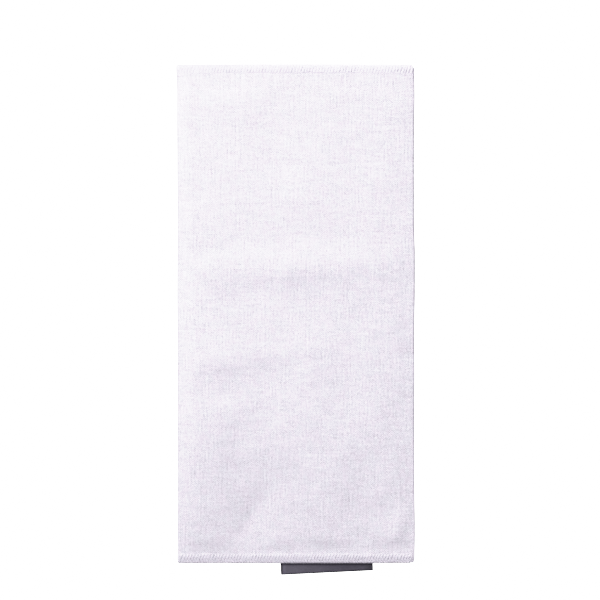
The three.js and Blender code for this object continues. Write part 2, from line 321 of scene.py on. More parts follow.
def side_risen(distance, y, rise):
    share = (y - SEWN_END) / POUCH_LENGTH
    run = rise["sewn_run"] + (rise["mouth_run"] - rise["sewn_run"]) * share
    return risen(distance, run, rise["power"])


def openness(x, y):
    """0 at the side folds and the seam, 1 where the pouch is fullest."""
    across = side_risen(x - left_side(y), y, LEFT_RISE) * side_risen(right_side(y) - x, y, RIGHT_RISE)
    return across, risen(y - SEWN_END - EDGE_BAND, SEWN_RISE["run"], SEWN_RISE["power"])


def freedom(x, y):
    """0 at the side folds and the seam, 1 where the cloth is free to crease."""
    from_side = np.minimum(x - left_side(y), right_side(y) - x)
    return ease(0.0, FOLD_FREE, from_side) * ease(0.0, FOLD_FREE, y - SEWN_END - EDGE_BAND)


def gap(x, y):
    """The space between the two panels."""
    across, along = openness(x, y)
    settled = 1.0 - MOUTH_DROP["share"] * ease(MOUTH_END - MOUTH_DROP["run"], MOUTH_END, y)
    side = SIDE_GAP["left"] + (SIDE_GAP["right"] - SIDE_GAP["left"]) * ease(left_side(y), right_side(y), x)
    space = along * (side + across * (FULL_GAP * settled - side))
    return np.maximum(space + freedom(x, y) * fold_relief(x, y), 0.0)


def in_band(y):
    """1 in the overlocked edges, 0 away from them."""
    from_end = np.minimum(MOUTH_END - y, y - SEWN_END)
    return 1.0 - ease(EDGE_BAND - BAND_FADE["before"], EDGE_BAND + BAND_FADE["past"], from_end)


def pucker(x, y):
    """Ripples that the stitching draws into the cloth beside the overlocked edges."""
    from_end = np.minimum(MOUTH_END - y, y - SEWN_END)
    near = np.exp(-((from_end / PUCKER["run"]) ** 2)) * ease(0.0, PUCKER["start"], from_end)
    sway = PUCKER["sway"] * np.sin(x / PUCKER["sway_run"])
    wave = np.sin(math.tau * x / PUCKER["wavelength"] + sway)
    return PUCKER["height"] * near * wave


def back_low(x, y):
    groove = BACK_SEAM["depth"] * np.exp(-(((x - BACK_SEAM["x"]) / BACK_SEAM["width"]) ** 2))
    groove = groove * ease(0.0, BACK_SEAM["start"], y - SEWN_END)
    return strip_lift(x, y) + BAND_LIFT * in_band(y) + groove


def back_high(x, y):
    return strip_lift(x, y) + BAND_LIFT * in_band(y) + CLOTH


def front_low(x, y):
    lift = strip_lift(x, y)
    space = gap(x, y)
    uneven = ripples(x, y) * (HELD_UNEVEN + (1.0 - HELD_UNEVEN) * freedom(x, y)) + pucker(x, y)
    loose = ease(0.0, LOOSE_GAP, space)
    return back_high(x, y) + LAYER_AIR + np.hypot(space, lift) - lift + loose * (FRONT_PUFF + uneven)


def edge_press(y):
    """How much flatter the cloth is towards an overlocked edge."""

    def press(row, distance):
        return row["height"] * (1.0 - ease(row["start"], row["run"], distance))

    return press(EDGE_PRESS["mouth"], MOUTH_END - y) + press(EDGE_PRESS["sewn"], y - SEWN_END)


def front_high(x, y):
    return front_low(x, y) + CLOTH - edge_press(y)


def shift_along(x, y):
    """How far the mouth's sag and the sewn end's skew move a point along Y."""
    near_mouth = ease(MOUTH_END - MOUTH_DIP["run"], MOUTH_END, y)
    near_seam = 1.0 - ease(SEWN_END, SEWN_END + SEWN_SKEW["run"], y)
    sag = MOUTH_DIP["depth"] * np.exp(-(((x - MOUTH_DIP["x"]) / MOUTH_DIP["reach"]) ** 2))
    return near_seam * SEWN_SKEW["rise"] * (x / (POUCH_WIDTH / 2)) - near_mouth * sag


def ring(y, inset, low, high):
    """Points of one closed ring for each y: along the back from its seam to the left, round the left fold,
    along the front, round the right fold, and along the back to the seam again. low and high give the
    heights of the ring's lower and upper side, and inset is its distance from the pouch's sides."""
    y = np.asarray(y, float).reshape(-1, 1)
    left, right = left_side(y) + inset, right_side(y) - inset
    left_round = (high(left, y) - low(left, y)) / 2
    right_round = (high(right, y) - low(right, y)) / 2
    start, end = left + left_round, right - right_round
    seam = BACK_SEAM["x"]

    def flat(x, height):
        return x, height(x, y)

    def fold(x, side, reach):
        angle = np.linspace(0.0, math.pi, FOLD_STEPS + 1)[1:-1].reshape(1, -1)
        middle, half = (high(x, y) + low(x, y)) / 2, (high(x, y) - low(x, y)) / 2
        return x + side * reach * np.sin(angle), middle + side * half * np.cos(angle)

    def spread(first, last, count, crowding=1.0):
        share = np.linspace(0.0, 1.0, count + 1).reshape(1, -1) ** crowding
        return first + (last - first) * share

    runs = [
        flat(spread(seam, start, BACK_LEFT_COLUMNS, LEFT_CROWDING), low),
        fold(start, -1, left_round),
        flat(spread(start, end, FRONT_COLUMNS), high),
        fold(end, 1, right_round),
        flat(spread(seam, end, BACK_RIGHT_COLUMNS, RIGHT_CROWDING)[:, ::-1][:, :-1], low),
    ]
    x = np.concatenate([run[0] for run in runs], axis=1)
    z = np.concatenate([run[1] for run in runs], axis=1)
    return np.stack([x, y + shift_along(x, y), z], axis=-1)


# Places in a ring: the outermost points of its two folds, and a point of the front panel between them
LEFT_FOLD = BACK_LEFT_COLUMNS + 1 + (FOLD_STEPS - 1) // 2
RIGHT_FOLD = LEFT_FOLD + FOLD_STEPS + FRONT_COLUMNS
ON_FRONT = LEFT_FOLD + 60


def outer_ring(y):
    return ring(y, 0.0, back_low, front_high)


def inner_ring(y):
    return ring(y, CLOTH, back_high, front_low)


def zipped_cap(points, first, faces_mouth):
    """Triangles that close a ring whose points start at index first: its upper half meets its lower half."""
    count = len(points)
    upper = list(range(LEFT_FOLD, RIGHT_FOLD + 1))
    lower = [LEFT_FOLD] + [i % count for i in range(LEFT_FOLD - 1, RIGHT_FOLD - count - 1, -1)]
    faces, high, low = [], 0, 0

    def ahead(path, at):
        return points[path[at + 1], 0] if at + 1 < len(path) else math.inf

    while high + 1 < len(upper) or low + 1 < len(lower):
        upper_first = ahead(upper, high) <= ahead(lower, low)
        third = upper[high + 1] if upper_first else lower[low + 1]
        face = [lower[low], third, upper[high]]
        if len(set(face)) == 3:
            faces.append([first + i for i in (face[::-1] if faces_mouth else face)])
        high, low = (high + 1, low) if upper_first else (high, low + 1)
    return faces


def path_lengths(points):
    """The length of a path up to each of its points."""
    steps = np.linalg.norm(np.diff(points, axis=0), axis=-1)
    return np.concatenate([[0.0], np.cumsum(steps)])


def mesh_object(name, points, faces, corner_uv, material):
    """A smooth mesh from points in millimetres and an (u, v) for each corner of each face."""
    mesh = bpy.data.meshes.new(name)
    mesh.from_pydata((np.asarray(points) * MM).tolist(), [], faces)
    layer = mesh.uv_layers.new(name="UVMap")
    layer.data.foreach_set("uv", (np.asarray(corner_uv, float) * MM).ravel())
    mesh.polygons.foreach_set("use_smooth", [True] * len(mesh.polygons))
    mesh.materials.append(material)
    mesh.update()
    made = bpy.data.objects.new(name, mesh)
    bpy.context.scene.collection.objects.link(made)
    return made


def ring_corners(rows, columns):
    """The row and column of each corner of the quads between closed rows of points."""
    r, c = np.meshgrid(np.arange(rows - 1), np.arange(columns), indexing="ij")
    r, c = r.ravel(), c.ravel()
    return [(r, c), (r, c + 1), (r + 1, c + 1), (r + 1, c)]


def ring_faces(corners, columns):
    return np.stack([r * columns + c % columns for r, c in corners], axis=1)


def cloth_piece(material):
    """The pouch's cloth as one closed sheet: outer skin, mouth rim and inner skin."""
    outer_y = np.linspace(SEWN_END + SEWN_RIM, MOUTH_END - MOUTH_RIM, OUTER_STATIONS)
    inner_y = np.linspace(MOUTH_END - MOUTH_RIM, SEWN_END + EDGE_BAND, INNER_STATIONS)
    outer, inner = outer_ring(outer_y), inner_ring(inner_y)

    def rounded(near, far, direction, angles):
        """Rings that turn from near to far round the edge between them."""
        middle, half = (near + far) / 2, (near - far) / 2
        size = np.linalg.norm(half, axis=-1, keepdims=True)
        out = np.array([0.0, direction, 0.0])
        return [middle + half * math.cos(a) + out * size * math.sin(a) for a in angles]

    rim_turns = np.linspace(0.0, math.pi, RIM_STEPS + 1)[1:-1]
    rim = rounded(outer[-1], inner[0], 1.0, rim_turns)
    middle = outer[0].copy()
    middle[:, 2] = (front_high(middle[:, 0], outer_y[0]) + back_low(middle[:, 0], outer_y[0])) / 2
    closing_turns = np.linspace(math.pi / 2.05, 0.0, CLOSING_STEPS + 1)[:-1]
    closing = rounded(outer[0], 2 * middle - outer[0], -1.0, closing_turns)
    rings = np.concatenate([np.array(closing), outer, np.array(rim), inner])
    travel = path_lengths(rings[:, ON_FRONT])
    reference = outer[len(outer) // 2]
    u = path_lengths(np.vstack([reference, reference[:1]]))
    rows, columns = rings.shape[:2]
    corners = ring_corners(rows, columns)
    faces = ring_faces(corners, columns)
    uv = np.stack([np.stack([u[c], travel[r]], axis=-1) for r, c in corners], axis=1).reshape(-1, 2)
    first_cap = zipped_cap(rings[0], 0, False)
    last_cap = zipped_cap(rings[-1], (rows - 1) * columns, True)
    caps = first_cap + last_cap
    cap_uv = [(u[i % columns], travel[i // columns]) for face in caps for i in face]
    return mesh_object(
        "pouch_cloth",
        rings.reshape(-1, 3),
        faces.tolist() + caps,
        np.concatenate([uv, np.array(cap_uv)]),
        material,
    )


class Edge:
    """An edge of cloth with two faces, where a place is given by the distance along the edge, by the travel
    round it (positive on the outer face, negative on the inner one) and by the height above the cloth."""

    def __init__(self, outer, inner, direction, closed):
        self.outer, self.inner = outer, inner  # arrays: depth from the edge, place along it, x y z
        self.direction = direction
        self.closed = closed
        self.along = path_lengths(outer[0])
        self.length = self.along[-1]

    def sample(self, face, along, depth):
        along = along % self.length if self.closed else np.clip(along, 0.0, self.length)
        column = np.interp(along, self.along, np.arange(len(self.along)))
        row = np.clip(depth / DEPTH_STEP, 0.0, len(face) - 1.001)
        r, c = row.astype(int), np.minimum(column.astype(int), len(self.along) - 2)
        fr, fc = (row - r)[:, None], (column - c)[:, None]
        top = face[r, c] * (1 - fc) + face[r, c + 1] * fc
        bottom = face[r + 1, c] * (1 - fc) + face[r + 1, c + 1] * fc
        return top * (1 - fr) + bottom * fr

    def place(self, along, travel, lift):
        depth = np.maximum(np.abs(travel) - STITCH_WRAP, 0.0)
        outer, inner = self.sample(self.outer, along, depth), self.sample(self.inner, along, depth)
        middle, half = (outer + inner) / 2, (outer - inner) / 2
        size = np.linalg.norm(half, axis=-1, keepdims=True)
        angle = (1.0 - np.clip(travel / STITCH_WRAP, -1.0, 1.0))[:, None] * math.pi / 2
        out = np.array([0.0, self.direction, 0.0])
        reach = 1.0 + lift[:, None] / size
        return middle + half * reach * np.cos(angle) + out * size * reach * np.sin(angle)


def edge_depths():
    return np.arange(0.0, STITCH_DEPTH + EDGE_DEPTH, DEPTH_STEP)


def mouth_edge():
    y = MOUTH_END - MOUTH_RIM - edge_depths()

    def joined(rings):
        return np.concatenate([rings, rings[:, :1]], axis=1)

    return Edge(joined(outer_ring(y)), joined(inner_ring(y)), 1.0, True)


def sewn_edge():
    y = (SEWN_END + SEWN_RIM + edge_depths()).reshape(-1, 1)
    share = np.linspace(0.0, 1.0, EDGE_COLUMNS).reshape(1, -1)
    width = right_side(y) - left_side(y) - 2 * STITCH_MARGIN
    x = left_side(y) + STITCH_MARGIN + width * share

    def level(height):
        return np.stack([x, y + shift_along(x, y), height(x, y)], axis=-1)

    return Edge(level(front_high), level(back_low), -1.0, False)


# One stitch of each thread. along is in stitches, depth is a share of the stitch depth, wrap is a share of
# the way round the cloth's edge, from its middle to its face, and lift is in millimetres above the cloth.
LOOPER = [
    {"along": 0.00, "depth": 1.00, "wrap": 1.00, "lift": 0.04},
    {"along": 0.10, "depth": 0.90, "wrap": 1.00, "lift": 0.22},
    {"along": 0.14, "depth": 0.70, "wrap": 1.00, "lift": 0.25},
    {"along": 0.16, "depth": 0.50, "wrap": 1.00, "lift": 0.25},
    {"along": 0.19, "depth": 0.30, "wrap": 1.00, "lift": 0.22},
    {"along": 0.24, "depth": 0.10, "wrap": 1.00, "lift": 0.23},
    {"along": 0.28, "depth": 0.00, "wrap": 0.80, "lift": 0.25},
    {"along": 0.34, "depth": 0.00, "wrap": 0.40, "lift": 0.25},
    {"along": 0.44, "depth": 0.00, "wrap": 0.05, "lift": 0.27},
    {"along": 0.56, "depth": 0.00, "wrap": 0.05, "lift": 0.27},
    {"along": 0.66, "depth": 0.00, "wrap": 0.40, "lift": 0.25},
    {"along": 0.72, "depth": 0.00, "wrap": 0.80, "lift": 0.25},
    {"along": 0.76, "depth": 0.10, "wrap": 1.00, "lift": 0.23},
    {"along": 0.81, "depth": 0.30, "wrap": 1.00, "lift": 0.22},
    {"along": 0.84, "depth": 0.50, "wrap": 1.00, "lift": 0.25},
    {"along": 0.86, "depth": 0.70, "wrap": 1.00, "lift": 0.25},
    {"along": 0.90, "depth": 0.90, "wrap": 1.00, "lift": 0.22},
]
NEEDLE = [
    {"along": 0.00, "depth": 1.00, "wrap": 1.0, "lift": -0.16},
    {"along": 0.12, "depth": 1.01, "wrap": 1.0, "lift": 0.03},
    {"along": 0.35, "depth": 1.03, "wrap": 1.0, "lift": 0.08},
    {"along": 0.65, "depth": 1.03, "wrap": 1.0, "lift": 0.08},
    {"along": 0.88, "depth": 1.01, "wrap": 1.0, "lift": 0.03},
]


def thread_path(edge, stitch, count, side, slant, seed, phase=0.0):
    """The places of one thread that runs along the edge, stitch after stitch, each a little uneven."""
    chance = np.random.default_rng(seed)

    def about(middle, key, number):
        return middle + chance.uniform(-STITCH_UNEVEN[key], STITCH_UNEVEN[key], number)

    pitch = edge.length / count
    along, travel, lift = [], [], []
    holes = np.cumsum(np.concatenate([[0.0], about(1.0, "hole", count)]))
    holes *= count / holes[-1]
    deep = about(1.0, "depth", count + 1)
    deep[-1] = deep[0]
    lean = about(slant, "lean", count + 1)
    lean[-1] = lean[0]
    for i in range(count):
        for point in stitch:
            share = point["along"]
            hole = holes[i] + (holes[i + 1] - holes[i]) * share
            tilt = (lean[i] + (lean[i + 1] - lean[i]) * share) * (1.0 - point["depth"])
            depth = point["depth"] * (deep[i] + (deep[i + 1] - deep[i]) * share) * STITCH_DEPTH
            along.append((hole + tilt + phase) * pitch)
            travel.append(side * (point["wrap"] * STITCH_WRAP + depth))
            lift.append(point["lift"])
    return edge.place(np.array(along), np.array(travel), np.array(lift) * STITCH_LIFT)


OFF_AXIS = (0.31, 0.17, 0.94)  # a direction that no thread runs in
TAPER = 0.4  # share of the radius that is left at a loose end
CLOSING_STEP = 0.3  # length given to the step that joins a closed thread to its start


def tube(points, radius, sides, closed, first):
    """A tube of faces along points, closed on itself or tapered to its two ends."""
    points = np.asarray(points)
    count = len(points)
    if closed:
        tangent = np.roll(points, -1, axis=0) - np.roll(points, 1, axis=0)
    else:
        tangent = np.gradient(points, axis=0)
    tangent /= np.linalg.norm(tangent, axis=-1, keepdims=True)
    side = np.cross(tangent, np.array(OFF_AXIS))
    side /= np.linalg.norm(side, axis=-1, keepdims=True)
    up = np.cross(side, tangent)
    angle = np.linspace(0.0, math.tau, sides, endpoint=False)
    width = np.full(count, radius)
    if not closed:
        width[0] = width[-1] = radius * TAPER
    circle = side[:, None] * np.cos(angle)[None, :, None] + up[:, None] * np.sin(angle)[None, :, None]
    skin = points[:, None] + circle * width[:, None, None]
    travel = path_lengths(points)
    corners = ring_corners(count + 1 if closed else count, sides)
    faces = first + ring_faces([(r % count, c) for r, c in corners], sides)
    lengths = np.append(travel, travel[-1] + CLOSING_STEP)
    uv = np.stack([np.stack([c / sides, lengths[r]], axis=-1) for r, c in corners], axis=1).reshape(-1, 2)
    skin, faces, uv = skin.reshape(-1, 3), faces.tolist(), uv.tolist()
    if not closed:
        for ring_start, flip in ((first, True), (first + (count - 1) * sides, False)):
            loop = [ring_start + i for i in range(sides)]
            faces.append(loop[::-1] if flip else loop)
            uv += [(0.0, 0.0)] * sides
    return skin, faces, uv


def thread_piece(name, runs, material):
    """Threads joined into one mesh. A run is (points, radius, closed)."""
    points, faces, uv, first = [], [], [], 0
    for run, radius, closed in runs:
        skin, run_faces, run_uv = tube(run, radius, THREAD_SIDES, closed, first)
        points.append(skin)
        faces += run_faces
        uv += run_uv
        first += len(skin)
    return mesh_object(name, np.concatenate(points), faces, uv, material)


def overlock(name, edge, slant, seed, material):
    count = round(edge.length / STITCH_PITCH)
    upper = thread_path(edge, LOOPER, count, 1, slant, seed)
    lower = thread_path(edge, LOOPER, count, -1, slant, seed, phase=0.5)
    needle = thread_path(edge, NEEDLE, count, 1, slant, seed)
    runs = [
        (upper, LOOPER_RADIUS, edge.closed),
        (lower, LOOPER_RADIUS, edge.closed),
        (needle, NEEDLE_RADIUS, edge.closed),
    ]
    for points, radius, _ in runs:
        points[:, 2] = np.maximum(points[:, 2], radius + FLOOR_AIR)
    return thread_piece(name, runs, material)


# The strip as it is seen: thin ribbon, folded double at its right end
RIBBON = 0.3  # thickness
RIBBON_AIR = 0.02  # between the ribbon and the surface that the pouch lies on
RIBBON_FOLD = 0.34  # radius of the fold, to the ribbon's middle
RIBBON_SHORT = 1.4  # the upper layer is cut this much shorter at the left
RIBBON_BOW = 0.08  # the upper layer sinks this much in its middle
RIBBON_ROWS = 26
RIBBON_COLUMNS = 44
RIBBON_FOLD_STEPS = 12


def strip_piece(material):
    """The ribbon's middle line in the plane of X and Z, swept across its width and given thickness."""
    half = STRIP_LENGTH / 2
    base = RIBBON / 2 + RIBBON_AIR
    turn_x = half - RIBBON_FOLD

    def bow(x):
        return RIBBON_BOW * math.sin(math.pi * (x + half) / STRIP_LENGTH)

    lower = [(x, base) for x in np.linspace(-half, turn_x, RIBBON_COLUMNS)]
    turn = np.linspace(-math.pi / 2, math.pi / 2, RIBBON_FOLD_STEPS + 1)[1:-1]
    fold = [(turn_x + RIBBON_FOLD * math.cos(a), base + RIBBON_FOLD * (1 + math.sin(a))) for a in turn]
    upper_x = np.linspace(turn_x, -half + RIBBON_SHORT, RIBBON_COLUMNS)
    upper = [(x, base + 2 * RIBBON_FOLD - bow(x)) for x in upper_x]
    line = np.array(lower + fold + upper)
    tangent = np.gradient(line, axis=0)
    tangent /= np.linalg.norm(tangent, axis=-1, keepdims=True)
    normal = np.stack([tangent[:, 1], -tangent[:, 0]], axis=-1)
    outer, inner = line + normal * RIBBON / 2, line - normal * RIBBON / 2
    loop = np.concatenate([outer, inner[::-1]])
    travel = path_lengths(line)
    u = np.concatenate([travel, travel[::-1]])
    across = np.linspace(-STRIP_WIDTH / 2, STRIP_WIDTH / 2, RIBBON_ROWS)
    cosine, sine = math.cos(math.radians(STRIP_TURN)), math.sin(math.radians(STRIP_TURN))
    rows = []
    for v in across:
        x, height = loop[:, 0], loop[:, 1]
        place_x, place_y = STRIP_X + x * cosine - v * sine, STRIP_Y + x * sine + v * cosine
        rows.append(np.stack([place_x, place_y, height], axis=-1))
    columns = len(loop)
    corners = ring_corners(RIBBON_ROWS, columns)
    faces = ring_faces(corners, columns)
    uv = np.stack([np.stack([u[c % columns], across[r]], axis=-1) for r, c in corners], axis=1)
    faces, uv = faces[:, ::-1].tolist(), uv[:, ::-1].reshape(-1, 2).tolist()
    half_count = columns // 2
    for row, flip in ((0, False), (RIBBON_ROWS - 1, True)):
        for i in range(half_count - 1):
            face = [i, i + 1, columns - 2 - i, columns - 1 - i]
            face = [row * columns + k for k in (face[::-1] if flip else face)]
            faces.append(face)
            uv += [(u[k % columns], across[row]) for k in face]
    return mesh_object("label_ribbon", np.concatenate(rows), faces, uv, material)


class Shader:
    """A material's node tree, built by small calls that return sockets."""

    def __init__(self, name):
        self.material = bpy.data.materials.new(name)
        self.material.use_nodes = True
        self.tree = self.material.node_tree
        self.tree.nodes.clear()

    def node(self, kind, **settings):
        made = self.tree.nodes.new(kind)
        for key, value in settings.items():
            setattr(made, key, value)
        return made

    def feed(self, socket, value):
        if isinstance(value, bpy.types.NodeSocket):
            self.tree.links.new(value, socket)
        else:
            socket.default_value = value

    def math(self, operation, a, b=0.0, clamp=False):
        made = self.node("ShaderNodeMath", operation=operation, use_clamp=clamp)
        self.feed(made.inputs[0], a)
        self.feed(made.inputs[1], b)
        return made.outputs[0]

    def total(self, *terms):
        result = terms[0]
        for term in terms[1:]:
            result = self.math("ADD", result, term)
        return result

    def product(self, *factors):
        result = factors[0]
        for factor in factors[1:]:
            result = self.math("MULTIPLY", result, factor)
        return result

    def uv(self):
        split = self.node("ShaderNodeSeparateXYZ")
        place = self.node("ShaderNodeUVMap", uv_map="UVMap")
        self.feed(split.inputs[0], place.outputs[0])
        return split.outputs[0], split.outputs[1]

    def vector(self, x, y, z=0.0):
        made = self.node("ShaderNodeCombineXYZ")
        for socket, value in zip(made.inputs, (x, y, z)):
            self.feed(socket, value)
        return made.outputs[0]

    def noise(self, vector, scale, detail=2.0, roughness=0.5):
        """Smooth noise from 0 to 1, with about scale bumps in a metre."""
        made = self.node("ShaderNodeTexNoise")
        self.feed(made.inputs["Vector"], vector)
        made.inputs["Scale"].default_value = scale
        made.inputs["Detail"].default_value = detail
        made.inputs["Roughness"].default_value = roughness
        return made.outputs["Fac"]

    def chance(self, vector):
        """A number from 0 to 1 that changes abruptly with the vector."""
        made = self.node("ShaderNodeTexWhiteNoise", noise_dimensions="3D")
        self.feed(made.inputs["Vector"], vector)
        return made.outputs["Value"]

    def mix(self, share, low, high):
        made = self.node("ShaderNodeMix", data_type="RGBA")
        self.feed(made.inputs["Factor"], share)
        self.feed(made.inputs[6], low)
        self.feed(made.inputs[7], high)
        return made.outputs[2]

    def shaded(self, tone, colour):
        return self.mix(tone, linear(*colour["dark"]), linear(*colour["light"]))

    def choose(self, share, low, high):
        """low where share is 0, high where it is 1, as numbers."""
        return self.total(low, self.product(share, self.math("SUBTRACT", high, low)))

    def remap(self, value, from_low, from_high, to_low, to_high):
        made = self.node("ShaderNodeMapRange")
        for socket, number in zip(made.inputs, (value, from_low, from_high, to_low, to_high)):
            self.feed(socket, number)
        return made.outputs[0]

    def bump(self, height, distance, strength, normal=None):
        made = self.node("ShaderNodeBump")
        self.feed(made.inputs["Height"], height)
        made.inputs["Distance"].default_value = distance
        made.inputs["Strength"].default_value = strength
        if normal is not None:
            self.feed(made.inputs["Normal"], normal)
        return made.outputs[0]

    def finish(self, colour, normal, **sockets):
        surface = self.node("ShaderNodeBsdfPrincipled")
        output = self.node("ShaderNodeOutputMaterial")
        self.feed(surface.inputs["Base Color"], colour)
        self.feed(surface.inputs["Normal"], normal)
        for name, value in sockets.items():
            surface.inputs[name.replace("_", " ")].default_value = value
        self.tree.links.new(surface.outputs[0], output.inputs["Surface"])
        return self.material


def linear(red, green, blue):
    """A colour given in the 0 to 255 steps of a screen, as a shader needs it."""

    def one(step):
        share = step / 255
        return share / 12.92 if share <= 0.04045 else ((share + 0.055) / 1.055) ** 2.4

    return (one(red), one(green), one(blue), 1.0)


def woven_cotton():
    """Plain weave of uneven melange yarn."""
    s = Shader("pouch_cloth")
    u, v = s.uv()
    place = s.vector(u, v)

    def off_middle(share):
        return s.math("SUBTRACT", share, 0.5)

    def wandering(value, pitch, seed):
        """The place across the yarns of one direction, counted in yarns, which don't run quite straight."""
        shifted = s.vector(s.math("ADD", u, seed), v)
        drift = off_middle(s.noise(shifted, 70.0, 2.0))
        return s.total(s.math("DIVIDE", value, pitch * MM), s.product(drift, 1.6))

    warp, weft = wandering(u, WARP_PITCH, 3.1), wandering(v, WEFT_PITCH, 7.7)
    warp_number, weft_number = s.math("FLOOR", warp), s.math("FLOOR", weft)
    warp_share, weft_share = s.math("FRACT", warp), s.math("FRACT", weft)
    parity = s.math("FLOORED_MODULO", s.total(warp_number, weft_number), 2.0)

    def yarn(number, along, seed):
        """Thickness of a yarn along its run, from 0 to 1, and its own shade."""
        run = s.vector(s.math("MULTIPLY", number, 0.37), along, seed)
        slub = s.noise(run, 55.0, 3.0, 0.6)
        shade = s.chance(s.vector(number, seed, 0.5))
        return slub, shade

    warp_slub, warp_shade = yarn(warp_number, v, 1.7)
    weft_slub, weft_shade = yarn(weft_number, u, 5.2)

    def uneven(x, y, seed, scale):
        return off_middle(s.noise(s.vector(x, y, seed), scale, 1.0))

    def sign(number):
        """1 for odd numbers and -1 for even ones."""
        return s.total(s.product(s.math("FLOORED_MODULO", number, 2.0), 2.0), -1.0)

    def tuft_of(value):
        return s.math("FLOOR", s.math("DIVIDE", value, TUFT * MM))

    def profile(share, slub):
        """Round section of a yarn, wider where it is thicker."""
        off = s.math("ABSOLUTE", off_middle(share))
        width = s.remap(slub, 0.3, 0.7, 0.40, 0.60)
        side = s.math("DIVIDE", off, width)
        return s.math("SUBTRACT", 1.0, s.product(side, side), clamp=True)

    def crown(share):
        return s.math("SINE", s.product(share, math.pi))

    def arched(share, low=0.55):
        """How high a yarn lies as it passes over another one, from low at its sides to 1."""
        return s.total(low, s.product(crown(share), 1.0 - low))

    warp_top = s.product(profile(warp_share, warp_slub), arched(weft_share))
    weft_top = s.product(profile(weft_share, weft_slub), arched(warp_share))
    weave = s.choose(parity, warp_top, weft_top)
    fibre_warp = s.noise(s.vector(s.math("MULTIPLY", u, 2.2), v), 620.0, 1.0)
    fibre_weft = s.noise(s.vector(u, s.math("MULTIPLY", v, 2.2)), 620.0, 1.0)
    fibre = s.choose(parity, fibre_warp, fibre_weft)
    fuzz = s.noise(place, 1500.0, 3.0, 0.7)
    patch = s.noise(place, 160.0, 4.0, 0.65)
    shade = s.choose(parity, warp_shade, weft_shade)
    slub = s.choose(parity, warp_slub, weft_slub)

    tuft = s.chance(s.vector(tuft_of(u), tuft_of(v), 3.0))
    ribs = s.math("SINE", s.product(warp, math.tau / RIB_YARNS))
    # painted shade: the cloth is darker under the sewn end's stitches, where their shadow falls
    painted_stitch_shade = s.remap(v, (EDGE_BAND - 0.6) * MM, (EDGE_BAND + 2.4) * MM, 1.0, 0.0)
    amount = COTTON_TONE
    tone = s.total(
        # painted shade in the gaps between yarns, and a little painted light on their crowns
        s.product(s.remap(weave, 0.0, 1.0, -1.0, 0.35), amount["weave"]),
        s.product(off_middle(tuft), amount["tuft"]),
        s.product(sign(s.total(warp_number, weft_number)), amount["crossing"]),
        s.product(sign(warp_number), uneven(u, v, 0.7731, 700.0), amount["yarn"]),
        s.product(sign(weft_number), uneven(u, v, 6.1137, 700.0), amount["yarn"]),
        s.product(ribs, uneven(u, s.product(v, 0.3), 2.37, 200.0), amount["rib"]),
        s.product(uneven(s.product(u, 0.16), v, 1.1173, 600.0), amount["weft_streak"]),
        s.product(uneven(u, s.product(v, 0.16), 3.3391, 600.0), amount["warp_streak"]),
        s.product(off_middle(shade), amount["shade"]),
        s.product(off_middle(slub), amount["slub"]),
        s.product(off_middle(patch), amount["patch"]),
        s.product(painted_stitch_shade, amount["painted_stitch_shade"]),
        amount["middle"],
    )
    tone = s.math("MINIMUM", s.math("MAXIMUM", tone, 0.0), 1.0)
    hue = s.noise(s.vector(u, s.product(v, 0.8), 4.137), 230.0, 1.5)
    warmth = s.remap(hue, 0.35, 0.65, 0.1, 0.9)
    colour = s.mix(warmth, s.shaded(tone, COOL_COTTON), s.shaded(tone, WARM_COTTON))

    height = s.total(weave, s.product(fibre, 0.35), s.product(fuzz, 0.20))
    normal = s.bump(height, 0.35 * MM, 0.5)
    return s.finish(colour, normal, Roughness=0.92, Sheen_Weight=0.12, Sheen_Roughness=0.6, IOR=1.4)


def sewing_thread():
    """Soft twisted thread: two plies wound round each other, with stray fibre."""
    s = Shader("overlock_thread")
    u, v = s.uv()
    twist = s.total(s.product(u, 2.0 / MM), s.product(v, 1.0 / (0.9 * MM)))
    ply = s.math("ABSOLUTE", s.math("SINE", s.product(twist, math.pi)))
    fibre = s.noise(s.vector(s.product(twist, 0.004), v), 1400.0, 3.0, 0.6)
    run = s.noise(s.vector(0.0, v, 2.0), 300.0, 2.0)
    # the ply term is painted shade: the thread is lighter on its plies' crowns and darker in the grooves
    # between them
    tone = s.total(s.product(ply, 0.45), s.product(fibre, 0.4), s.product(run, 0.2))
    colour = s.shaded(tone, THREAD_COLOUR)
    normal = s.bump(s.total(ply, s.product(fibre, 0.4)), 0.12 * MM, 0.6)
    return s.finish(colour, normal, Roughness=0.8, Sheen_Weight=0.15, Sheen_Roughness=0.5, IOR=1.45)


